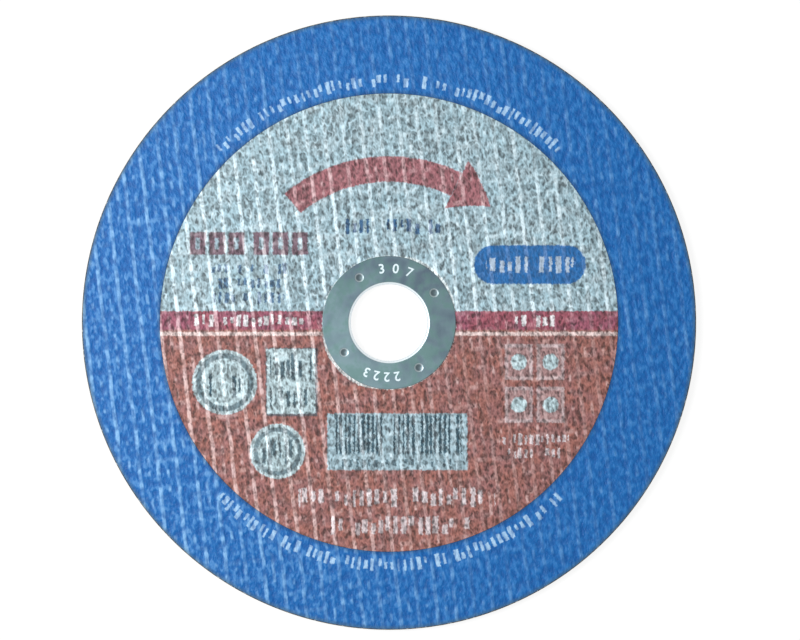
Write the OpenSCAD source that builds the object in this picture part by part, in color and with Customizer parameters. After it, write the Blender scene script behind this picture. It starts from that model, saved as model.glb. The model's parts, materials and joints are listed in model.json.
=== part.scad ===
/* [Wheel] */
// Diameter over the rim
wheel_d = 178; // [150:1:230]
// Thickness over the crowns of the mesh on both faces
wheel_t = 3; // [2.4:0.1:5]
// Radius of the two corners of the rim
rim_corner_r = 0.3; // [0.1:0.05:0.6]

/* [Glass mesh] */
// Distance between neighbouring threads
thread_pitch = 5.39; // [4:0.01:8]
// Width of a thread at its foot
thread_w = 1.5; // [1:0.1:2.4]
// Width of the flat crown that the press leaves on a thread
crown_w = 0.7; // [0.3:0.1:0.9]
// Height of a thread above the face
thread_h = 0.12; // [0.06:0.01:0.2]
// Lean of the threads from the wheel's upright, anticlockwise
thread_lean = 6.7; // [0:0.1:45]
// Place of the middle thread beside the axis
thread_shift = -1.2; // [-2:0.1:2]
// Plain land between the threads and every edge
edge_land = 0.4; // [0.2:0.1:1]

/* [Label] */
// Diameter of the paper label on the front
label_d = 132.6; // [90:0.2:145]
// Thickness of the label
label_t = 0.2; // [0.1:0.05:0.4]
// Gap between the label's edge and its seat
label_gap = 0.1; // [0.05:0.05:0.4]

/* [Arbor bush] */
// Diameter of the bore
bore_d = 22.23; // [15:0.01:26]
// Thickness of the steel sheet
sheet_t = 0.4; // [0.25:0.05:0.6]
// Inside radius of the bend from collar to flange
bend_r = 0.4; // [0.1:0.05:0.5]
// Diameter of the flange on the label
flange_d = 38.6; // [34:0.2:46]
// Radius of the flange's upper edge
flange_edge_r = 0.15; // [0.05:0.05:0.2]
// Gap between the collar and the hole in the wheel
collar_gap = 0.1; // [0.05:0.05:0.3]
// Distance from the back of the wheel to the end of the collar
collar_setback = 0.15; // [0.05:0.05:0.6]
// Distance from the bend of the bush to the hole in the label
label_hole_gap = 0.8; // [0.3:0.1:2]

/* [Punched dimples] */
// Number of dimples that pin the flange to the wheel
dimple_count = 4; // [3:1:8]
// Diameter of a dimple at the top of the flange
dimple_d = 2.8; // [1.6:0.1:3.6]
// Depth of a dimple
dimple_depth = 0.3; // [0.1:0.05:0.5]
// Direction of the first dimple, anticlockwise from the right
dimple_turn = 33.5; // [0:0.5:90]
// Gap between the underside of a dimple and its pocket
dimple_gap = 0.05; // [0.05:0.05:0.2]

/* [Hidden] */

$fn = 128;
dimple_fn = 64;

wheel_r = wheel_d / 2;
back_z = thread_h;
face_z = wheel_t - thread_h;

label_r = label_d / 2;
seat_r = label_r + label_gap;
seat_z = face_z - label_t;

bore_r = bore_d / 2;
hole_r = bore_r + sheet_t + collar_gap;
bend_center_r = bore_r + sheet_t + bend_r;
bend_z = face_z - bend_r;
flange_r = flange_d / 2;
flange_z = face_z + sheet_t;
label_hole_r = bend_center_r + label_hole_gap;

// Each thread is sunk a little into the face that it stands on
thread_root = thread_h / 2;
mesh_outer_r = wheel_r - rim_corner_r - edge_land;

// A dimple is the cap of a ball that has pushed the sheet down
dimple_circle_r = (bend_center_r + flange_r) / 2;
punch_r = (pow(dimple_d / 2, 2) + pow(dimple_depth, 2)) / (2 * dimple_depth);
punch_z = flange_z - dimple_depth + punch_r;

// Straight glass threads across a face at z = 0, kept to a ring
module mesh_threads(inner_r, outer_r) {
  span = ceil(outer_r / thread_pitch);
  intersection() {
    rotate(thread_lean)
      for (k = [-span : span])
        let (x = k * thread_pitch + thread_shift)
          if (abs(x) + thread_w / 2 < outer_r)
            translate([x, 0, 0]) thread(2 * outer_r);
    translate([0, 0, -thread_root])
      linear_extrude(thread_root + thread_h)
        ring(inner_r, outer_r);
  }
}

// One thread along Y, with sloping flanks and a flat crown
module thread(length) {
  rotate([90, 0, 0])
    linear_extrude(length, center = true)
      polygon([
        [-thread_w / 2, -thread_root],
        [thread_w / 2, -thread_root],
        [thread_w / 2, 0],
        [crown_w / 2, thread_h],
        [-crown_w / 2, thread_h],
        [-thread_w / 2, 0]
      ]);
}

module ring(inner_r, outer_r) {
  difference() {
    circle(outer_r);
    circle(inner_r);
  }
}

// Balls on the circle of dimples, all about the centre of the punch
module dimple_balls(radius) {
  for (k = [0 : dimple_count - 1])
    rotate(dimple_turn + k * 360 / dimple_count)
      translate([dimple_circle_r, 0, punch_z])
        sphere(radius, $fn = dimple_fn);
}

// Half section of the pressed wheel, without its mesh
module disc_section() {
  core_t = face_z - back_z;
  difference() {
    union() {
      translate([hole_r, back_z])
        square([wheel_r - rim_corner_r - hole_r, core_t]);
      translate([hole_r, back_z + rim_corner_r])
        square([wheel_r - hole_r, core_t - 2 * rim_corner_r]);
      for (z = [back_z + rim_corner_r, face_z - rim_corner_r])
        translate([wheel_r - rim_corner_r, z]) circle(rim_corner_r);
    }
    // Seat that the label is pressed into
    translate([0, seat_z]) square([seat_r, label_t + wheel_t]);
    // Relief at the mouth of the hole, where the bush bends
    polygon([[0, seat_z - bend_r], [hole_r, seat_z - bend_r], [hole_r + bend_r, seat_z], [0, seat_z]]);
  }
}

// Half section of the bush: collar, bend and flange from one sheet
module bush_section() {
  outer_bend_r = bend_r + sheet_t;
  translate([bore_r, collar_setback])
    square([sheet_t, bend_z - collar_setback]);
  translate([bend_center_r, bend_z])
    intersection() {
      ring(bend_r, outer_bend_r);
      translate([-outer_bend_r, 0]) square(outer_bend_r);
    }
  translate([bend_center_r, face_z])
    square([flange_r - flange_edge_r - bend_center_r, sheet_t]);
  translate([bend_center_r, face_z])
    square([flange_r - bend_center_r, sheet_t - flange_edge_r]);
  translate([flange_r - flange_edge_r, flange_z - flange_edge_r])
    circle(flange_edge_r);
}

// Pressed abrasive with the mesh showing on both faces
module abrasive_disc() {
  color([0.2, 0.44, 0.71])
    difference() {
      union() {
        rotate_extrude() disc_section();
        translate([0, 0, face_z]) mesh_threads(seat_r + edge_land, mesh_outer_r);
        translate([0, 0, back_z]) mirror([0, 0, 1]) mesh_threads(hole_r + edge_land, mesh_outer_r);
      }
      dimple_balls(punch_r + sheet_t + dimple_gap);
    }
}

// Paper label, with the threads of the wheel pressed through it
module label() {
  color([0.66, 0.71, 0.73])
    difference() {
      union() {
        translate([0, 0, seat_z]) linear_extrude(label_t) ring(label_hole_r, label_r);
        translate([0, 0, face_z]) mesh_threads(flange_r + edge_land, label_r - edge_land);
      }
      dimple_balls(punch_r + sheet_t + dimple_gap);
    }
}

// Flanged steel bush that lines the bore
module arbor_bush() {
  color([0.5, 0.58, 0.6])
    difference() {
      union() {
        rotate_extrude() bush_section();
        // Undersides of the dimples
        intersection() {
          dimple_balls(punch_r + sheet_t);
          translate([0, 0, face_z - 2 * dimple_depth])
            linear_extrude(2 * dimple_depth + sheet_t / 2)
              ring(bend_center_r, flange_r);
        }
      }
      dimple_balls(punch_r);
    }
}

abrasive_disc();
label();
arbor_bush();
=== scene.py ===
import json
import math

import bmesh
import bpy
from mathutils import Matrix, Vector


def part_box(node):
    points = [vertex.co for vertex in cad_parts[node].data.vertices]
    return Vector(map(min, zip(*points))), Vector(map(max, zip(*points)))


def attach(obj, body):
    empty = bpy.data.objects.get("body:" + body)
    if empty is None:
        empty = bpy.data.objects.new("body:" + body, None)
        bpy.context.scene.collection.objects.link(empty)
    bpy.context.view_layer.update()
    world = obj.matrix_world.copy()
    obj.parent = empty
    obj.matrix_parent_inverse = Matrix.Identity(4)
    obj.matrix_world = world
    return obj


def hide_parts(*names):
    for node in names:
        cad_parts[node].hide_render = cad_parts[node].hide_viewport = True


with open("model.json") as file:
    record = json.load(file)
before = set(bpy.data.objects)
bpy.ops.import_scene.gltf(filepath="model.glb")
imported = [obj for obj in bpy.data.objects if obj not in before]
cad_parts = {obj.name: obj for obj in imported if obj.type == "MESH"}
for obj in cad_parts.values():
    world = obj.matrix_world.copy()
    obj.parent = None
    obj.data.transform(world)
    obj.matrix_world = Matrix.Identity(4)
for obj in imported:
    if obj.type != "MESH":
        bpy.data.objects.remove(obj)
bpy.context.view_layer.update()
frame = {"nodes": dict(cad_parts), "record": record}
mm = 0.001


def reach(node):
    # largest distance of a round node's box from the axis
    return max(abs(value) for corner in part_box(node) for value in corner[:2])


# sizes that the solids already have, in metres
bore = next(mount for mount in frame["record"]["mounts"] if mount["name"] == "arbor_bore")
boreRadius = bore["dims"]["r_mm"] * mm
wheelRadius = reach("abrasive_disc")
labelRadius = reach("label")
flangeRadius = reach("arbor_bush")
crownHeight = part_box("abrasive_disc")[1][2]
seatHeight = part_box("label")[0][2]
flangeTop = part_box("arbor_bush")[1][2]

# the glass mesh under both faces, in millimetres
weave = {
    "lean": 6.7,           # degrees, anticlockwise
    "pitch": 5.39,         # between warp threads
    "shift": -1.2,         # warp thread nearest the axis
    "threadWidth": 1.5,
    "crownWidth": 0.6,
    "threadHeight": 0.12,
    "heightLeast": 0.4,    # share of that height where a thread is pulled in
    "heightMore": 0.55,
    "weftPitch": 5.34,
    "weftHeight": 0.05,
    "wander": 0.6,         # how far a thread strays sideways
    "grainWidth": 0.95,
    "grainLength": 1.5,
    "grainHeight": 0.22,
    "grainSunk": 0.55,     # share of that height below the face
    "netShare": 0.45,      # of thin winding ridges in the grain, the rest is lumps
    "edgeLand": 0.5,       # plain strip along an edge
}
# noise that breaks up the mesh: scale across the warp, scale along it, and a layer of its own
unevenness = {
    "stray": (0.05, 0.11, 3.0),      # how a warp thread wanders
    "pull": (7.3, 0.25, 9.0),        # how far a warp thread stands out, by its number
    "ghost": (0.2, 0.3, 7.0),        # where a faint thread shows between two others
    "drift": (0.13, 0.06, 5.0),      # how a weft thread wanders
    "patch": (0.3, 5.1, 2.0),        # where a weft thread shows, by its number
}
seed = 4.0
baseHeight = crownHeight - weave["threadHeight"] * mm
backHeight = weave["threadHeight"] * mm


def rgb(red, green, blue):
    # a colour as an 8-bit screen value, turned to linear light
    channels = [value / 255 for value in (red, green, blue)]
    linear = [c / 12.92 if c <= 0.04045 else ((c + 0.055) / 1.055) ** 2.4 for c in channels]
    return (*linear, 1.0)


class Wire:
    # one output socket of a node tree: sums on it add Math nodes to that tree
    def __init__(self, tree, socket=None):
        self.tree = tree
        self.socket = socket

    def make(self, nodeType, settings=None, sockets=None, output=0):
        node = self.tree.nodes.new(nodeType)
        for name, value in (settings or {}).items():
            setattr(node, name, value)
        for name, value in (sockets or {}).items():
            if isinstance(value, Wire):
                self.tree.links.new(value.socket, node.inputs[name])
            else:
                node.inputs[name].default_value = value
        return Wire(self.tree, node.outputs[output] if node.outputs else None)

    def math(self, operation, *values):
        return self.make("ShaderNodeMath", {"operation": operation}, dict(enumerate(values)))

    def __add__(self, other):
        return self.math("ADD", self, other)

    def __radd__(self, other):
        return self.math("ADD", other, self)

    def __sub__(self, other):
        return self.math("SUBTRACT", self, other)

    def __rsub__(self, other):
        return self.math("SUBTRACT", other, self)

    def __mul__(self, other):
        return self.math("MULTIPLY", self, other)

    def __rmul__(self, other):
        return self.math("MULTIPLY", other, self)

    def __truediv__(self, other):
        return self.math("DIVIDE", self, other)

    def __rtruediv__(self, other):
        return self.math("DIVIDE", other, self)

    def absolute(self):
        return self.math("ABSOLUTE", self)

    def floor(self):
        return self.math("FLOOR", self)

    def root(self):
        return self.math("SQRT", self)

    def most(self, other):
        return self.math("MAXIMUM", self, other)

    def least(self, other):
        return self.math("MINIMUM", self, other)

    def below(self, other):
        return self.math("LESS_THAN", self, other)

    def above(self, other):
        return self.math("GREATER_THAN", self, other)

    def ramp(self, zeroAt, oneAt):
        # smooth step from 0 to 1, falling where zeroAt is the larger
        return self.make(
            "ShaderNodeMapRange",
            {"interpolation_type": "SMOOTHSTEP"},
            {"Value": self, "From Min": zeroAt, "From Max": oneAt},
        )

    def vector(self, x, y, z=0.0):
        return self.make("ShaderNodeCombineXYZ", None, {"X": x, "Y": y, "Z": z})

    def part(self, axis):
        return self.make("ShaderNodeSeparateXYZ", None, {"Vector": self}, axis)

    def noise(self, place, scale, detail=0.0, roughness=0.5):
        return self.make(
            "ShaderNodeTexNoise",
            {"noise_dimensions": "4D"},
            {"Vector": place, "W": seed, "Scale": scale, "Detail": detail, "Roughness": roughness},
        )

    def chance(self):
        # one fixed random number from 0 to 1 for each whole number
        return self.make("ShaderNodeTexWhiteNoise", {"noise_dimensions": "1D"}, {"W": self})

    def mix(self, share, below, above, blend="MIX"):
        return self.make(
            "ShaderNodeMix",
            {"data_type": "RGBA", "blend_type": blend},
            {0: share, 6: below, 7: above},
            2,
        )


def unevenNoise(kind, u, v, detail=0.0, roughness=0.5):
    across, along, layer = unevenness[kind]
    return u.noise(u.vector(u * across, v * along, layer), 1.0, detail, roughness)


def weaveFields(u, v, size):
    # the rule of the mesh: u runs across the warp and v along it, both in millimetres
    stray = (unevenNoise("stray", u, v, 2.0, 0.6) - 0.5) * size["wander"] * 2.0
    across = u - size["shift"] + stray
    thread = (across / size["pitch"] + 0.5).floor()
    side = (across - thread * size["pitch"]).absolute()
    crown = side.ramp(size["threadWidth"] * 0.5, size["crownWidth"] * 0.5)
    pull = unevenNoise("pull", thread, v, 2.0, 0.6).ramp(0.36, 0.62)
    between = (side - size["pitch"] * 0.5).absolute().ramp(0.65, 0.15)
    ghost = between * unevenNoise("ghost", u, v, 1.0).ramp(0.48, 0.66)
    along = v + (unevenNoise("drift", u, v) - 0.5) * size["wander"]
    pick = (along / size["weftPitch"] + 0.5).floor()
    weft = (along - pick * size["weftPitch"]).absolute().ramp(1.0, 0.25)
    weft = weft * unevenNoise("patch", u, pick).ramp(0.45, 0.7)
    # lumps and thin winding ridges of grit
    place = u.vector(u / size["grainWidth"], v / size["grainLength"])
    blobs = u.noise(place, 1.0, 1.0, 0.6).ramp(0.3, 0.7)
    net = (u.noise(place, 0.62, 1.0) - 0.5).absolute().ramp(0.13, 0.01)
    grain = blobs + (net - blobs) * size["netShare"]
    return {"crown": crown, "pull": pull, "ghost": ghost, "weft": weft, "grain": grain}


print("sizes from the frame: wheel", round(wheelRadius, 4), "label", round(labelRadius, 4))


# Pressed faces

def pressedFaceTree():
    # a ring of fine cells, laid square to the threads, raised by the rule of the mesh
    tree = bpy.data.node_groups.new("pressedFace", "GeometryNodeTree")
    tree.interface.new_socket("Geometry", in_out="OUTPUT", socket_type="NodeSocketGeometry")
    inputs = [
        "Inner Radius", "Outer Radius", "Cell Across", "Cell Along", "Lean", "Thread Pitch",
        "Thread Shift", "Thread Width", "Crown Width", "Thread Height", "Weft Pitch", "Weft Height",
        "Wander", "Grain Width", "Grain Length", "Grain Height", "Net Share", "Edge Land",
        "Plain Radius",
    ]
    for name in inputs:
        tree.interface.new_socket(name, in_out="INPUT", socket_type="NodeSocketFloat")
    tree.interface.new_socket("Material", in_out="INPUT", socket_type="NodeSocketMaterial")
    entry = tree.nodes.new("NodeGroupInput")
    given = {socket.name: Wire(tree, socket) for socket in entry.outputs if socket.name}
    board = Wire(tree)
    inner, outer = given["Inner Radius"], given["Outer Radius"]

    # the square grid, its points outside the ring taken off
    side = outer * 2.0 + 2.0
    columns = side / given["Cell Across"]
    rows = side / given["Cell Along"]
    grid = board.make(
        "GeometryNodeMeshGrid", None,
        {"Size X": side, "Size Y": side, "Vertices X": columns, "Vertices Y": rows},
    )
    place = board.make("GeometryNodeInputPosition")
    u, v = place.part(0), place.part(1)
    radius = (u * u + v * v).root()
    margin = given["Cell Along"].most(given["Cell Across"]) * 0.3
    outside = (radius - outer + margin).most(inner + margin - radius)
    sheet = board.make(
        "GeometryNodeDeleteGeometry", {"domain": "POINT"},
        {"Geometry": grid, "Selection": outside.above(0.0)},
    )
    faces = board.make("GeometryNodeInputMeshVertexNeighbors", output=1)
    sheet = board.make(
        "GeometryNodeDeleteGeometry", {"domain": "POINT"},
        {"Geometry": sheet, "Selection": faces.below(0.5)},
    )

    # the ragged border, where a point has fewer than four faces, goes out to the two circles
    border = faces.below(3.5)
    nearOuter = radius.above((inner + outer) * 0.5)
    target = inner + (outer - inner) * nearOuter
    stretch = target / radius
    sheet = board.make(
        "GeometryNodeSetPosition", None,
        {"Geometry": sheet, "Selection": border, "Position": board.vector(u * stretch, v * stretch)},
    )

    # relief, plain along the edges and under the flange
    fields = weaveFields(u, v, {
        "shift": given["Thread Shift"], "wander": given["Wander"], "pitch": given["Thread Pitch"],
        "threadWidth": given["Thread Width"], "crownWidth": given["Crown Width"],
        "weftPitch": given["Weft Pitch"], "grainWidth": given["Grain Width"],
        "grainLength": given["Grain Length"], "netShare": given["Net Share"],
    })
    land = given["Edge Land"]
    start = inner.most(given["Plain Radius"])
    fade = radius.ramp(outer, outer - land) * radius.ramp(start, start + land)
    height = fields["pull"] * weave["heightMore"] + weave["heightLeast"]
    relief = fields["crown"] * height * given["Thread Height"]
    relief = relief.most(fields["weft"].most(fields["ghost"]) * given["Weft Height"])
    relief = relief + (fields["grain"] - weave["grainSunk"]) * given["Grain Height"]
    # the press leaves nothing above the crowns
    relief = (relief * fade).least(given["Thread Height"]) * mm
    sheet = board.make(
        "GeometryNodeSetPosition", None,
        {"Geometry": sheet, "Position": board.vector(u * mm, v * mm, relief)},
    )
    lean = board.math("RADIANS", given["Lean"])
    sheet = board.make(
        "GeometryNodeTransform", None, {"Geometry": sheet, "Rotation": board.vector(0.0, 0.0, lean)},
    )
    sheet = board.make("GeometryNodeSetShadeSmooth", None, {"Geometry": sheet})
    sheet = board.make("GeometryNodeRealizeInstances", None, {"Geometry": sheet})
    sheet = board.make("GeometryNodeSetMaterial", None, {"Geometry": sheet, "Material": given["Material"]})
    leave = tree.nodes.new("NodeGroupOutput")
    tree.links.new(sheet.socket, leave.inputs[0])
    return tree


def runTree(tree, name, values):
    # runs a tree on an empty mesh and keeps the result as a plain mesh
    holder = bpy.data.objects.new(name, bpy.data.meshes.new(name))
    bpy.context.collection.objects.link(holder)
    modifier = holder.modifiers.new("build", "NODES")
    modifier.node_group = tree
    for item in tree.interface.items_tree:
        if item.in_out == "INPUT" and item.name in values:
            modifier[item.identifier] = values[item.name]
    depsgraph = bpy.context.evaluated_depsgraph_get()
    mesh = bpy.data.meshes.new_from_object(holder.evaluated_get(depsgraph), depsgraph=depsgraph)
    holder.modifiers.remove(modifier)
    bpy.data.objects.remove(holder)
    return mesh


def pressedFace(inner, outer, cell, material, **changes):
    # one pressed ring of the wheel as a plain mesh, with the mesh's usual sizes where none is given
    values = {
        "Inner Radius": inner / mm, "Outer Radius": outer / mm,
        "Cell Across": cell[0], "Cell Along": cell[1],
        "Lean": weave["lean"], "Thread Pitch": weave["pitch"], "Thread Shift": weave["shift"],
        "Thread Width": weave["threadWidth"], "Crown Width": weave["crownWidth"],
        "Thread Height": weave["threadHeight"], "Weft Pitch": weave["weftPitch"],
        "Weft Height": weave["weftHeight"], "Wander": weave["wander"], "Grain Width": weave["grainWidth"],
        "Grain Length": weave["grainLength"], "Grain Height": weave["grainHeight"],
        "Net Share": weave["netShare"], "Edge Land": weave["edgeLand"], "Plain Radius": 0.0,
        "Material": material,
    }
    values.update(changes)
    return runTree(faceTree, "pressedFace", values)


def borderLoops(faces):
    # the sheet's inner and outer border, each in order round the axis
    rim = {vert for face in faces for edge in face.edges if edge.is_boundary for vert in edge.verts}
    distances = [vert.co.xy.length for vert in rim]
    middle = (min(distances) + max(distances)) / 2
    order = sorted(rim, key=lambda vert: math.atan2(vert.co.y, vert.co.x))
    return [[vert for vert in order if (vert.co.xy.length > middle) == far] for far in (False, True)]


def sweep(shell, loop, profile, slot):
    # carries a border loop along points of a half section, and gives the last loop
    for radius, height in profile:
        following = []
        for vert in loop:
            flat = vert.co.xy.normalized() * radius
            following.append(shell.verts.new((flat.x, flat.y, height)))
        for k in range(len(loop)):
            face = shell.faces.new((loop[k - 1], loop[k], following[k], following[k - 1]))
            face.material_index = slot
            face.smooth = True
        loop = following
    return loop


def closeRing(shell, first, second, slot):
    # joins two loops of different counts with a band of triangles
    def angle(loop, k):
        turns, index = divmod(k, len(loop))
        return math.atan2(loop[index].co.y, loop[index].co.x) + turns * math.tau

    i = j = 0
    while i < len(first) or j < len(second):
        stepFirst = j >= len(second) or (i < len(first) and angle(first, i + 1) <= angle(second, j + 1))
        a, b = first[i % len(first)], second[j % len(second)]
        c = first[(i + 1) % len(first)] if stepFirst else second[(j + 1) % len(second)]
        face = shell.faces.new((a, c, b))
        face.material_index = slot
        face.smooth = True
        if stepFirst:
            i += 1
        else:
            j += 1


def finishShell(shell, name, materials, sharpAngle=42):
    bmesh.ops.recalc_face_normals(shell, faces=shell.faces)
    openEdges = sum(1 for edge in shell.edges if len(edge.link_faces) != 2)
    mesh = bpy.data.meshes.new(name)
    shell.to_mesh(mesh)
    shell.free()
    for material in materials:
        mesh.materials.append(material)
    mesh.set_sharp_from_angle(angle=math.radians(sharpAngle))
    piece = bpy.data.objects.new(name, mesh)
    bpy.context.collection.objects.link(piece)
    triangles = sum(len(polygon.vertices) - 2 for polygon in mesh.polygons)
    print(name, "triangles", triangles, "open edges", openEdges)
    return piece


def addSheet(shell, mesh, height, turned=False, slot=0):
    # puts a pressed face into a shell, face down where turned
    flip = Matrix.Diagonal((1, 1, -1 if turned else 1, 1))
    mesh.transform(Matrix.Translation((0, 0, height)) @ flip)
    before = len(shell.faces)
    shell.from_mesh(mesh)
    shell.faces.ensure_lookup_table()
    faces = shell.faces[before:]
    for face in faces:
        face.material_index = slot
    bpy.data.meshes.remove(mesh)
    return borderLoops(faces)


# Materials

def newMaterial(name):
    material = bpy.data.materials.new(name)
    material.use_nodes = True
    material.node_tree.nodes.clear()
    return material, Wire(material.node_tree)


def closeMaterial(board, color, roughness, normal, fixed):
    sockets = {"Base Color": color, "Roughness": roughness, "Normal": normal}
    sockets.update(fixed)
    shader = board.make("ShaderNodeBsdfPrincipled", None, sockets)
    board.make("ShaderNodeOutputMaterial", None, {"Surface": shader})


def millimetres(board):
    # the piece's own place in millimetres
    place = board.make("ShaderNodeTexCoord", output=3)
    return board.make("ShaderNodeVectorMath", {"operation": "SCALE"}, {"Vector": place, "Scale": 1 / mm})


def meshPlace(board, place):
    turned = board.make(
        "ShaderNodeVectorRotate", {"rotation_type": "Z_AXIS"},
        {"Vector": place, "Angle": -math.radians(weave["lean"])},
    )
    return turned.part(0), turned.part(1)


def bumped(board, height, distance):
    return board.make("ShaderNodeBump", None, {"Height": height, "Distance": distance * mm})


def fineGrit(u, v):
    # grit too fine for the mesh of a face
    return u.noise(u.vector(u * 1.6, v * 1.1), 1.0, 2.0, 0.6)


strokeLook = {               # shares of a stroke's pitch
    "jitter": 0.3,
    "leastHalf": 0.13,
    "moreHalf": 0.24,
    "soft": 0.08,
    "endSoft": 0.1,          # of half the row's height
    "leftOut": (0.1, 0.14),  # strokes with less luck than this are left out
}


def inkStrokes(along, rise, uneven=0.55):
    # short strokes side by side, each of its own width, place and height:
    # along counts the strokes, and rise goes from -1 at the foot of the row to 1 at its top
    look = strokeLook
    cell = along.floor()
    luck = cell.chance()
    other = (cell + 0.37).chance()
    third = (cell + 0.71).chance()
    offset = along - cell - 0.5 + (other - 0.5) * look["jitter"]
    stroke = offset.absolute() - luck * look["moreHalf"] - look["leastHalf"]
    share = third * uneven + (1.0 - uneven)
    middle = (other - 0.5) * (1.0 - share) * 2.0
    height = ((rise - middle).absolute() - share).ramp(look["endSoft"], -look["endSoft"])
    return stroke.ramp(look["soft"], -look["soft"]) * height * luck.ramp(*look["leftOut"])


def jogged(board, place, amount):
    # ink spreads unevenly on a rough face, so the place of the print strays a little
    x = place.part(0) + (board.noise(place, 1.4, 1.0) - 0.5) * (2 * amount)
    y = place.part(1) + (board.noise(place, 1.9, 1.0) - 0.5) * (2 * amount)
    return x, y


facing = {
    "deep": rgb(10, 87, 160),
    "blue": rgb(28, 116, 192),
    "pale": rgb(130, 183, 232),
    "ink": rgb(178, 214, 244),
    "inkRadius": 70.2,      # millimetres, middle of the curved rows of strokes
    "inkHalf": 1.9,
    "inkSpan": 0.78,        # radians to each side of the top and the bottom
    "strokePitch": 1.9,
    "lowerRow": 60.0,       # sets the two rows' strokes apart by this count
    "spanSoft": 0.01,
    "inkLeast": 0.35,       # cover of the strokes between the grains
    "inkMore": 0.8,
    "bleed": 0.35,
    "pullLeast": 0.15,      # how far a thread shows where it is pulled in
    "pullMore": 0.85,
    "ghostShare": 0.9,
    "weftShare": 0.25,
    "gritLeast": 0.2,       # how far a thread shows between the grains
    "gritMore": 0.9,
    "thin": 0.92,           # how far all of them show through the coating
    "patches": 0.19,        # how far the highest grains do
    "highlightFrom": -90.0,      # painted highlight: threads and high grains paler on the left and lower side
    "highlightTo": 15.0,
    "highlightTilt": 0.4,
    "highlightLeast": 0.36,
    "rim": rgb(66, 96, 116),
    "rimFrom": 87.4,        # the coating thins out to the rim
    "rimTo": 88.7,
    "rimCover": 0.6,
    "seatShade": rgb(20, 58, 96),
    "seatShadeFrom": 1.5,        # painted shade: a dark line round the label, from its edge
    "seatShadeTo": 0.1,
    "seatShadeCover": 0.5,
    "bump": 0.3,
    "roughness": 0.42,
    "specular": 0.22,
    "grain": {**weave, "grainWidth": 1.45, "grainLength": 2.6, "netShare": 0.12},
}


def facingMaterial(look):
    material, board = newMaterial("blueFacing")
    place = millimetres(board)
    x, y = jogged(board, place, look["bleed"])
    u, v = meshPlace(board, place)
    fields = weaveFields(u, v, look["grain"])
    grain = fields["grain"]
    color = board.mix(grain, look["deep"], look["blue"])
    # strokes in two arcs, above and below
    turn = x.math("ARCTAN2", x, y.absolute())
    radius = (x * x + y * y).root()
    rise = radius - look["inkRadius"]
    along = turn * (look["inkRadius"] / look["strokePitch"]) + y.math("SIGN", y) * look["lowerRow"]
    row = inkStrokes(along, rise / look["inkHalf"])
    row = row * turn.absolute().ramp(look["inkSpan"], look["inkSpan"] - look["spanSoft"])
    color = board.mix(row * (grain * look["inkMore"] + look["inkLeast"]), color, look["ink"])
    # the coating is thin on the threads
    thin = fields["crown"] * (fields["pull"] * look["pullMore"] + look["pullLeast"])
    thin = thin.most(fields["ghost"] * look["ghostShare"]).most(fields["weft"] * look["weftShare"])
    thin = thin * (grain * look["gritMore"] + look["gritLeast"])
    # painted highlight: the threads and the highest grains paler towards the left and lower side
    paintedHighlight = (x + y * look["highlightTilt"]).ramp(look["highlightTo"], look["highlightFrom"]) + look["highlightLeast"]
    color = board.mix(grain.ramp(0.55, 0.9) * paintedHighlight * look["patches"], color, look["pale"])
    color = board.mix(thin * paintedHighlight * look["thin"], color, look["pale"])
    rim = radius.ramp(look["rimFrom"], look["rimTo"])
    color = board.mix(rim * look["rimCover"], color, look["rim"])
    # painted shade in the gap round the label's edge
    gap = (radius - labelRadius / mm).ramp(look["seatShadeFrom"], look["seatShadeTo"])
    color = board.mix(gap * look["seatShadeCover"], color, look["seatShade"])
    normal = bumped(board, fineGrit(u, v), look["bump"])
    roughness = look["roughness"] - thin * 0.1
    closeMaterial(board, color, roughness, normal, {"Specular IOR Level": look["specular"]})
    return material


abrasive = {
    "dark": rgb(46, 52, 54),
    "grit": rgb(92, 98, 98),
    "spark": rgb(170, 178, 180),
    "glass": rgb(128, 128, 116),
    "gritScale": 1.5,       # grains to the millimetre
    "sparkCover": 0.8,
    "glassCover": 0.55,
    "bump": 0.12,
    "roughness": 0.8,
    "specular": 0.4,
}


def abrasiveMaterial(look):
    material, board = newMaterial("bondedAbrasive")
    place = millimetres(board)
    u, v = meshPlace(board, place)
    fields = weaveFields(u, v, weave)
    cells = {"Vector": place, "Scale": look["gritScale"]}
    shade = board.make("ShaderNodeTexVoronoi", None, cells, 1).part(0)
    edge = board.make("ShaderNodeTexVoronoi", None, cells, 0)
    spark = shade.ramp(0.93, 0.97)
    color = board.mix(shade.ramp(0.1, 0.9), look["dark"], look["grit"])
    color = board.mix(spark * look["sparkCover"], color, look["spark"])
    # bare glass shows on the crowns of the threads, not round the rim
    upright = board.make("ShaderNodeNewGeometry", output=1).part(2).absolute()
    bare = fields["crown"] * fields["pull"] * upright.ramp(0.6, 0.9)
    color = board.mix(bare * look["glassCover"], color, look["glass"])
    normal = bumped(board, board.noise(place, 2.6, 3.0, 0.6) - edge * 0.5, look["bump"])
    roughness = look["roughness"] - spark * 0.4
    closeMaterial(board, color, roughness, normal, {"Specular IOR Level": look["specular"]})
    return material


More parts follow.
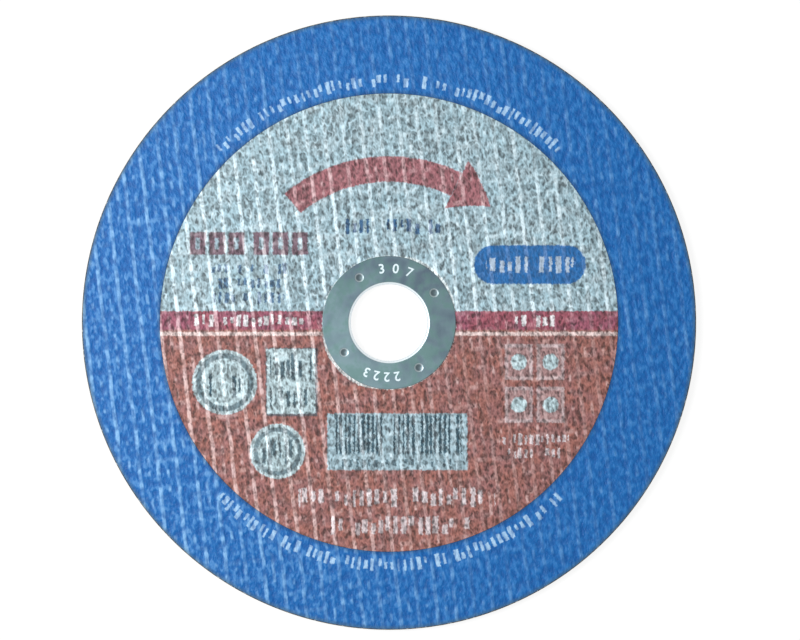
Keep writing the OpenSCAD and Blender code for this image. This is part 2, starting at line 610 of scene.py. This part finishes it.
labelPrint = {
    "silver": rgb(147, 175, 186),
    "warmSilver": rgb(152, 175, 184),
    "stripe": rgb(136, 77, 95),
    "warmStripe": rgb(143, 77, 90),
    "line": rgb(202, 181, 178),
    "brick": rgb(138, 94, 92),
    "warmBrick": rgb(143, 93, 85),
    "plate": rgb(168, 190, 196),
    "blush": rgb(194, 185, 189),
    "paper": rgb(228, 240, 242),
    "blue": rgb(32, 102, 165),
    "navy": rgb(46, 86, 122),
    "red": rgb(142, 76, 82),
    "darkRed": rgb(98, 54, 70),
    "ink": rgb(50, 78, 90),
    "fields": (              # two inks in patches, top and foot from the axis in millimetres
        ("brick", "warmBrick", 3.3, -70.0),
        ("stripe", "warmStripe", 3.3, -2.1),
        ("line", "line", -2.7, -3.8),
    ),
    "arrow": {               # a turning arrow: millimetres, and radians from the top
        "radius": 44.5, "half": 3.7, "tail": -0.68, "neck": 0.46, "tip": 0.72, "headHalf": 7.6,
        "cover": 0.9,
    },
    "plates": (              # shape, ink, cover, centre, half size and spread of mirrored copies
        *(("bar", "darkRed", 0.85, (-40.6, 22.9), (2.3, 3.3), (spread, 0)) for spread in (3.6, 9.2, 14.8)),
        *(("bar", "silver", 0.8, (-40.6, 22.9), (0.6, 1.7), (spread, 0)) for spread in (3.6, 9.2, 14.8)),
        ("round", "blue", 1.0, (40.8, 16.8), (16.2, 5.6), (0, 0)),
        ("round", "plate", 0.95, (-47.6, -17.3), (9.4, 9.4), (0, 0)),
        ("round", "ink", 0.75, (-47.6, -17.3), (8.4, 8.4), (0, 0)),
        ("round", "plate", 0.95, (-47.6, -17.3), (6.9, 6.9), (0, 0)),
        ("round", "plate", 0.95, (-32.3, -37.3), (8.0, 8.0), (0, 0)),
        ("round", "ink", 0.75, (-32.3, -37.3), (7.0, 7.0), (0, 0)),
        ("round", "plate", 0.9, (-32.3, -37.3), (5.7, 5.7), (0, 0)),
        ("bar", "ink", 0.75, (-28.2, -17.2), (7.5, 9.9), (0, 0)),
        ("bar", "plate", 0.95, (-28.4, -17.0), (7.0, 9.4), (0, 0)),
        ("bar", "silver", 0.95, (2.4, -34.5), (20.3, 8.2), (0, 0)),
        ("bar", "blush", 0.5, (42.2, -17.6), (4.0, 5.2), (4.6, 6.2)),
        ("bar", "brick", 0.6, (42.2, -17.6), (3.1, 4.2), (4.6, 6.2)),
        ("round", "plate", 1.0, (42.2, -17.6), (2.3, 2.3), (4.6, 6.2)),
    ),
    "rows": (                # ink, cover, centre, half size and pitch of the strokes
        ("navy", 1.0, (1.0, 27.8), (13.8, 2.3), 2.0),
        ("navy", 0.85, (-40.5, 15.6), (11.4, 1.7), 1.9),
        ("navy", 0.85, (-40.5, 11.4), (9.0, 1.7), 1.9),
        ("navy", 0.85, (-40.5, 7.2), (10.2, 1.7), 1.9),
        ("paper", 0.5, (40.8, 16.8), (12.6, 2.4), 2.4),
        ("paper", 0.6, (-40.5, 0.6), (16.0, 1.8), 2.0),
        ("paper", 0.6, (42.0, 0.6), (6.5, 1.8), 2.0),
        ("ink", 1.0, (-47.6, -17.3), (5.2, 4.6), 1.7),
        ("ink", 0.9, (-28.4, -12.8), (6.0, 4.0), 1.7),
        ("ink", 0.9, (-28.4, -21.8), (6.0, 3.4), 1.7),
        ("ink", 0.85, (-32.3, -37.3), (4.4, 4.0), 1.6),
        ("ink", 0.8, (2.4, -40.7), (16.0, 1.2), 1.8),
        ("blush", 0.85, (42.0, -33.8), (10.0, 1.7), 1.6),
        ("blush", 0.85, (42.0, -37.8), (7.5, 1.6), 1.6),
        ("blush", 0.9, (2.3, -50.6), (28.5, 2.8), 2.3),
        ("blush", 0.8, (3.3, -58.8), (20.0, 2.8), 2.3),
    ),
    "bars": ("ink", 1.0, (2.4, -32.4), (18.6, 5.8), 1.3),
    "bleed": 0.5,            # how far ink strays at an edge
    "soft": 0.25,            # half width of a soft edge
    "patchScale": 0.24,      # patches to the millimetre
    "heavyCover": 0.75,      # how far the blue plate hides the threads
    "heavyGrain": 0.7,       # share of that for the grain
    "margin": 0.7,           # bare paper on two sides of the flange
    "marginCover": 0.7,
    "pullLeast": 0.25,       # how far a thread shows where it is pulled in
    "pullMore": 0.75,
    "weftShare": 0.6,
    "gritLeast": 0.2,        # how far a thread shows between the grains
    "gritMore": 1.1,
    "thin": 0.9,             # how far all of them show through
    "glassGain": (1.5, 1.5, 1.5),    # a thread is lighter than the print beside it
    "glassLift": (0.36, 0.36, 0.36),
    "grainGain": 1.4,
    "grainLeast": 0.26,
    "highlightFrom": -50.0,       # painted highlight: below the stripe the threads show more on the left
    "highlightTo": 30.0,
    "highlightLeast": 0.4,
    "highlightMore": 1.1,
    "upperFrom": (3.0, 3.6),
    "upperHighlight": 1.6,        # above it the painted highlight on the threads is less to the right and the top
    "upperRight": 0.004,
    "upperTop": 0.016,
    "bump": 0.3,
    "roughness": 0.5,
    "specular": 0.3,
}


def plate(x, y, form, centre, half, spread, soft):
    # a square or rounded field of ink, and its mirrored copies
    dx, dy = (x - centre[0]).absolute(), (y - centre[1]).absolute()
    if spread[0]:
        dx = (dx - spread[0]).absolute()
    if spread[1]:
        dy = (dy - spread[1]).absolute()
    if form == "bar":
        return dx.ramp(half[0] + soft, half[0] - soft) * dy.ramp(half[1] + soft, half[1] - soft)
    dx = (dx - (half[0] - half[1])).most(0.0)
    return (dx * dx + dy * dy).root().ramp(half[1] + soft, half[1] - soft)


def turningArrow(turn, radius, size, soft, softTurn=0.01):
    across = (radius - size["radius"]).absolute()
    shaft = across.ramp(size["half"] + soft, size["half"] - soft)
    shaft = shaft * turn.ramp(size["tail"] - softTurn / 2, size["tail"] + softTurn / 2)
    shaft = shaft * turn.ramp(size["neck"], size["neck"] - softTurn)
    taper = (size["tip"] - turn) * (size["headHalf"] / (size["tip"] - size["neck"]))
    head = (across - taper).ramp(soft, -soft) * turn.ramp(size["neck"] - softTurn, size["neck"])
    return shaft.most(head)


def addRows(color, x, y, look, rows, uneven=0.55, rowStep=100.0):
    # rows of strokes that lie apart, so one set of strokes serves them all
    along, rise, covers = 0.0, 0.0, {}
    for k, (ink, cover, centre, half, pitch) in enumerate(rows):
        dx, dy = x - centre[0], y - centre[1]
        inside = dx.absolute().below(half[0]) * dy.absolute().below(half[1] * 1.1)
        along = along + inside * (dx / pitch + rowStep * k)
        rise = rise + inside * dy / half[1]
        covers[ink] = covers.get(ink, 0.0) + inside * cover
    strokes = inkStrokes(along, rise, uneven)
    for ink, cover in covers.items():
        color = color.mix(strokes * cover, color, look[ink])
    return color


def labelMaterial(look):
    material, board = newMaterial("printedLabel")
    place = millimetres(board)
    u, v = meshPlace(board, place)
    fields = weaveFields(u, v, weave)
    grain = fields["grain"]
    x, y = jogged(board, place, look["bleed"])
    radius = (x * x + y * y).root()
    patches = board.noise(place, look["patchScale"], 1.0).ramp(0.35, 0.65)
    color = board.mix(patches, look["silver"], look["warmSilver"])
    soft = look["soft"]
    for ink, warmInk, top, foot in look["fields"]:
        band = y.ramp(foot - soft, foot + soft) * y.ramp(top + soft, top - soft)
        color = board.mix(band, color, board.mix(patches, look[ink], look[warmInk]))
    turn = x.math("ARCTAN2", x, y)
    arrow = turningArrow(turn, radius, look["arrow"], soft)
    color = board.mix(arrow * look["arrow"]["cover"], color, look["red"])
    heavy = 0.0
    for form, ink, cover, centre, half, spread in look["plates"]:
        mask = plate(x, y, form, centre, half, spread, soft)
        color = board.mix(mask * cover, color, look[ink])
        if ink == "blue":
            heavy = mask * look["heavyCover"] + heavy
    color = addRows(color, x, y, look, look["rows"])
    color = addRows(color, x, y, look, [look["bars"]], 0.0)

    # bare paper on two sides of the flange
    edge = flangeRadius / mm + look["margin"] * (x * y / (radius * radius)).ramp(0.1, 0.45)
    margin = (radius - edge).ramp(0.3, -0.1)
    color = board.mix(margin * look["marginCover"], color, look["paper"])
    # dark and pale grain, and threads that show through all but the heaviest ink
    glass = board.make(
        "ShaderNodeVectorMath", {"operation": "MULTIPLY_ADD"},
        {0: color, 1: look["glassGain"], 2: look["glassLift"]},
    )
    shade = grain * look["grainGain"] + look["grainLeast"]
    color = board.mix(1.0 - heavy * look["heavyGrain"], color, shade, "MULTIPLY")
    # painted highlight: the threads paler to the left, and above the stripe less so to the right and the
    # top
    paintedHighlight = x.ramp(look["highlightTo"], look["highlightFrom"]) * look["highlightMore"] + look["highlightLeast"]
    upper = look["upperHighlight"] - x * look["upperRight"] - y * look["upperTop"]
    paintedHighlight = paintedHighlight + (upper - paintedHighlight) * y.ramp(*look["upperFrom"])
    line = fields["crown"] * (fields["pull"] * look["pullMore"] + look["pullLeast"])
    line = line * (grain * look["gritMore"] + look["gritLeast"]) * paintedHighlight
    faint = fields["ghost"].most(fields["weft"] * look["weftShare"]) * grain
    thin = line.most(faint) * (1.0 - heavy)
    color = board.mix(thin * look["thin"], color, glass)
    normal = bumped(board, fineGrit(u, v), look["bump"])
    roughness = look["roughness"] - thin * 0.1
    closeMaterial(board, color, roughness, normal, {"Specular IOR Level": look["specular"]})
    return material


steel = {
    "plate": rgb(108, 130, 136),
    "dull": rgb(78, 93, 105),
    "stain": rgb(84, 118, 110),
    # colour of the painted highlights on the dimples' edges and at the mouth of the bore
    "paintedHighlight": rgb(226, 234, 238),
    "dimpleShade": rgb(54, 70, 76),       # painted shade in the dimples
    "cloudScale": 0.16,              # clouds to the millimetre
    "stainScale": 0.3,
    "stainCover": 0.5,
    "paintedLightHalf": 18.0,               # painted light: brighter to the lower left, over this many millimetres each way
    "mouthFrom": 0.75,               # painted highlight at the mouth of the bore, from the bore outward
    "mouthTo": 0.4,
    "flatFrom": (0.8, 1.2),          # from the bore outward the flange is flat here
    "edgeDepths": (0.01, 0.06),      # below the flange's top
    "edgeHighlight": 0.28,
    "dimpleShadeDepths": (0.09, 0.22),
    "dimpleShadeCover": 0.85,
    "drawnLines": 6.0,               # faint drawing marks to the millimetre
    "bump": 0.012,
    "roughness": 0.42,
    "metallic": 0.9,
}
highlightedStruckSteel = {                      # the floor of a struck figure, painted bright as a highlight
    **steel,
    "plate": rgb(196, 210, 215),
    "dull": rgb(172, 188, 194),
    "stain": rgb(164, 182, 187),
    "dimpleShade": rgb(196, 210, 215),
}


def steelMaterial(name, look):
    material, board = newMaterial(name)
    place = millimetres(board)
    x, y = place.part(0), place.part(1)
    radius = (x * x + y * y).root()
    cloud = board.noise(place, look["cloudScale"], 2.0, 0.6).ramp(0.35, 0.65)
    # painted light: the plating brighter to the lower left
    light = (x * 0.5 + y).ramp(look["paintedLightHalf"], -look["paintedLightHalf"])
    spots = board.noise(place, look["stainScale"], 2.0, 0.6).ramp(0.4, 0.65)
    color = board.mix(cloud * 0.5 + light * 0.5, look["dull"], look["plate"])
    color = board.mix(spots * look["stainCover"], color, look["stain"])
    # painted shade in the dimples, painted highlights at their edges and at the mouth of the bore
    depth = flangeTop / mm - place.part(2)
    outward = radius - boreRadius / mm
    flat = outward.ramp(*look["flatFrom"])
    color = board.mix(depth.ramp(*look["edgeDepths"]) * flat * look["edgeHighlight"], color, look["paintedHighlight"])
    # painted shade deep in the dimples
    color = board.mix(depth.ramp(*look["dimpleShadeDepths"]) * flat * look["dimpleShadeCover"], color, look["dimpleShade"])
    color = board.mix(outward.ramp(look["mouthFrom"], look["mouthTo"]), color, look["paintedHighlight"])
    lines = board.noise(board.vector(radius * look["drawnLines"], 0.0), 1.0, 1.0)
    normal = bumped(board, lines * 0.6 + board.noise(place, 2.4, 2.0), look["bump"])
    roughness = look["roughness"] + spots * 0.14
    closeMaterial(board, color, roughness, normal, {"Metallic": look["metallic"]})
    return material


blueFacing = facingMaterial(facing)
bondedAbrasive = abrasiveMaterial(abrasive)
printedLabel = labelMaterial(labelPrint)
platedSteel = steelMaterial("platedSteel", steel)
# painted highlight: a brighter copy of the plated steel for the struck figures
highlightedSteel = steelMaterial("highlightedSteel", highlightedStruckSteel)
print("materials ready")


# The wheel itself

disc = {
    "rimCorner": 0.3 * mm,
    "rimSteps": 5,
    "seatRadius": labelRadius + 0.1 * mm,
    "holeRadius": boreRadius + 0.5 * mm,     # clear of the bush's collar
    "holeRelief": 0.4 * mm,
    "backLand": 0.4 * mm,
    "frontCell": (0.4, 0.5),                 # millimetres across and along the threads
    "backCell": (0.7, 1.3),
}


def makeDisc(size):
    shell = bmesh.new()
    corner, hole, land = size["rimCorner"], size["holeRadius"], size["backLand"]
    front = pressedFace(
        size["seatRadius"], wheelRadius - corner, size["frontCell"], blueFacing,
        **{
            "Grain Width": facing["grain"]["grainWidth"],
            "Grain Length": facing["grain"]["grainLength"],
            "Net Share": facing["grain"]["netShare"],
        },
    )
    frontInner, frontOuter = addSheet(shell, front, baseHeight)
    back = pressedFace(hole + land, wheelRadius - corner - land, size["backCell"], bondedAbrasive)
    backInner, backOuter = addSheet(shell, back, backHeight, turned=True, slot=1)
    rim = []
    for centre, first in ((baseHeight - corner, 0), (backHeight + corner, 90)):
        for k in range(size["rimSteps"] + 1):
            angle = math.radians(first + 90 * k / size["rimSteps"])
            rim.append((wheelRadius - corner + corner * math.sin(angle), centre + corner * math.cos(angle)))
    closeRing(shell, sweep(shell, frontOuter, rim[1:], 1), backOuter, 1)
    mouth = [
        (hole, backHeight),
        (hole, seatHeight - size["holeRelief"]),
        (hole + size["holeRelief"], seatHeight),
    ]
    seat = sweep(shell, frontInner, [(size["seatRadius"], seatHeight)], 0)
    closeRing(shell, sweep(shell, backInner, mouth, 1), seat, 1)
    return finishShell(shell, "pressed_wheel", [blueFacing, bondedAbrasive])


label = {
    "holeRadius": boreRadius + 1.6 * mm,
    "cell": (0.38, 0.45),
}


def makeLabel(size):
    shell = bmesh.new()
    sheet = pressedFace(
        size["holeRadius"], labelRadius, size["cell"], printedLabel, **{"Plain Radius": flangeRadius / mm},
    )
    inner, outer = addSheet(shell, sheet, baseHeight)
    under = sweep(shell, outer, [(labelRadius, seatHeight)], 0)
    closeRing(shell, sweep(shell, inner, [(size["holeRadius"], seatHeight)], 0), under, 0)
    return finishShell(shell, "printed_label", [printedLabel])


stamp = {
    "radius": 15.6 * mm,
    "height": 3.8 * mm,      # of a figure
    "weight": 0.09 * mm,     # added to each side of its strokes
    "depth": 0.18 * mm,
    "rows": (("307", 83.0, 15.0), ("2223", 262.0, 11.0)),   # figures, middle and step in degrees
    "curveSteps": 3,
    "figureWeld": 0.001 * mm,
    "sheetWeld": 0.0005 * mm,
    "sharpAngle": 40,        # degrees
    "flatNormal": 0.9995,    # a face whose normal is this upright is flat
}


def makeFigures(size):
    # plain figures as one cutter that stands through the flange's top
    cutter = bmesh.new()
    for figures, middle, step in size["rows"]:
        for k, figure in enumerate(figures):
            curve = bpy.data.curves.new("figure", "FONT")
            curve.body = figure
            curve.size = size["height"]
            curve.resolution_u = size["curveSteps"]
            curve.align_x = "CENTER"
            curve.align_y = "CENTER"
            curve.extrude = size["depth"]
            holder = bpy.data.objects.new("figure", curve)
            bpy.context.collection.objects.link(holder)
            mesh = bpy.data.meshes.new_from_object(
                holder.evaluated_get(bpy.context.evaluated_depsgraph_get())
            )
            angle = math.radians(middle - (k - (len(figures) - 1) / 2) * step)
            place = Vector((math.cos(angle), math.sin(angle), 0)) * size["radius"]
            place.z = flangeTop
            mesh.transform(Matrix.Translation(place) @ Matrix.Rotation(angle - math.pi / 2, 4, "Z"))
            cutter.from_mesh(mesh)
            bpy.data.objects.remove(holder)
            bpy.data.meshes.remove(mesh)
    bmesh.ops.remove_doubles(cutter, verts=cutter.verts, dist=size["figureWeld"])
    bmesh.ops.recalc_face_normals(cutter, faces=cutter.faces)
    cutter.normal_update()
    for vert in cutter.verts:
        outward = Vector((vert.normal.x, vert.normal.y, 0))
        vert.co += outward.normalized() * size["weight"]
    mesh = bpy.data.meshes.new("figures")
    cutter.to_mesh(mesh)
    cutter.free()
    mesh.materials.append(highlightedSteel)
    return mesh


def makeBush(size):
    solid = bmesh.new()
    solid.from_mesh(frame["nodes"]["arbor_bush"].data)
    bmesh.ops.remove_doubles(solid, verts=solid.verts, dist=size["sheetWeld"])
    solid.verts.index_update()
    mesh = bpy.data.meshes.new("drawn_bush")
    points = [vert.co[:] for vert in solid.verts]
    mesh.from_pydata(points, [], [[vert.index for vert in face.verts] for face in solid.faces])
    solid.free()
    mesh.materials.append(platedSteel)
    piece = bpy.data.objects.new("drawn_bush", mesh)
    bpy.context.collection.objects.link(piece)
    cutter = bpy.data.objects.new("figures", makeFigures(size))
    bpy.context.collection.objects.link(cutter)
    cut = piece.modifiers.new("stamp", "BOOLEAN")
    cut.object = cutter
    cut.solver = "EXACT"
    cut.use_self = True
    cut.material_mode = "TRANSFER"
    depsgraph = bpy.context.evaluated_depsgraph_get()
    stamped = bpy.data.meshes.new_from_object(piece.evaluated_get(depsgraph), depsgraph=depsgraph)
    piece.modifiers.remove(cut)
    bpy.data.objects.remove(cutter)
    piece.data = stamped
    stamped.name = "drawn_bush"
    # the flat faces keep their own normals, so that the bend and the dimples shade cleanly
    stamped.set_sharp_from_angle(angle=math.radians(size["sharpAngle"]))
    for polygon in stamped.polygons:
        polygon.use_smooth = abs(polygon.normal.z) < size["flatNormal"]
    print("drawn_bush triangles", sum(len(polygon.vertices) - 2 for polygon in stamped.polygons))
    return piece


faceTree = pressedFaceTree()
for piece, node, slotName in (
    (makeDisc(disc), "abrasive_disc", "abrasive"),
    (makeLabel(label), "label", "label_paper"),
    (makeBush(stamp), "arbor_bush", "bush_steel"),
):
    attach(piece, "root")
    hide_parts(node)


# Stage

stage = {
    "floorHalf": 3.0,
    "floorDrop": 0.1 * mm,
    "floorColor": (0.8, 0.8, 0.8, 1.0),
    "floorGlow": 1.1,
    "seenShare": 0.8,        # share of the glow that the camera and reflections see
    "worldLight": 0.38,
    "lampPlace": (-0.33, 0.04, 0.52),
    "lampSize": 0.3,
    "lampPower": 3.13,
}


def seenRays(board):
    # 1 for the camera, reflections and what is seen through, 0 for light that lands on the object
    path = board.tree.nodes.new("ShaderNodeLightPath")
    seen = Wire(board.tree, path.outputs["Is Camera Ray"])
    for name in ("Is Glossy Ray", "Is Transmission Ray"):
        seen = seen.most(Wire(board.tree, path.outputs[name]))
    return seen


def makeFloor(size):
    material, board = newMaterial("paleFloor")
    matt = board.make("ShaderNodeBsdfDiffuse", None, {"Color": size["floorColor"]})
    white = board.make("ShaderNodeEmission", None, {"Color": (1, 1, 1, 1), "Strength": size["floorGlow"]})
    surface = board.make(
        "ShaderNodeMixShader", None, {0: seenRays(board) * size["seenShare"], 1: matt, 2: white},
    )
    board.make("ShaderNodeOutputMaterial", None, {"Surface": surface})
    half = size["floorHalf"]
    mesh = bpy.data.meshes.new("floor")
    corners = [(-half, -half), (half, -half), (half, half), (-half, half)]
    mesh.from_pydata([(x, y, -size["floorDrop"]) for x, y in corners], [], [(0, 1, 2, 3)])
    mesh.materials.append(material)
    floor = bpy.data.objects.new("floor", mesh)
    bpy.context.collection.objects.link(floor)


def makeWorld(size):
    world = bpy.data.worlds.new("paleRoom")
    world.use_nodes = True
    world.node_tree.nodes.clear()
    board = Wire(world.node_tree)
    strength = seenRays(board) * (1 - size["worldLight"]) + size["worldLight"]
    sky = board.make("ShaderNodeBackground", None, {"Color": (1, 1, 1, 1), "Strength": strength})
    board.make("ShaderNodeOutputWorld", None, {"Surface": sky})
    bpy.context.scene.world = world


def makeLamp(size):
    data = bpy.data.lights.new("window", "AREA")
    data.shape = "DISK"
    data.size = size["lampSize"]
    data.energy = size["lampPower"]
    lamp = bpy.data.objects.new("window", data)
    lamp.location = size["lampPlace"]
    lamp.rotation_euler = (-Vector(size["lampPlace"])).to_track_quat("-Z", "Y").to_euler()
    bpy.context.collection.objects.link(lamp)


camera = {
    "lens": 100.0,
    "sensor": 36.0,
    "imageWidth": 800,
    "imageHeight": 640,
    "wheelCentre": (389.0, 322.6),   # pixel of the axis in the photograph
    "wheelPixels": 307.3,            # pixels from the axis to the rim
}


def makeCamera(size):
    data = bpy.data.cameras.new("camera")
    data.lens = size["lens"]
    data.sensor_width = size["sensor"]
    pixel = wheelRadius / size["wheelPixels"]
    eye = bpy.data.objects.new("camera", data)
    eye.location = (
        (size["imageWidth"] / 2 - size["wheelCentre"][0]) * pixel,
        (size["wheelCentre"][1] - size["imageHeight"] / 2) * pixel,
        baseHeight + size["imageWidth"] * pixel * size["lens"] / size["sensor"],
    )
    bpy.context.collection.objects.link(eye)
    bpy.context.scene.camera = eye


makeFloor(stage)
makeWorld(stage)
makeLamp(stage)
makeCamera(camera)
bpy.context.scene.view_settings.view_transform = "Standard"
print("stage ready")
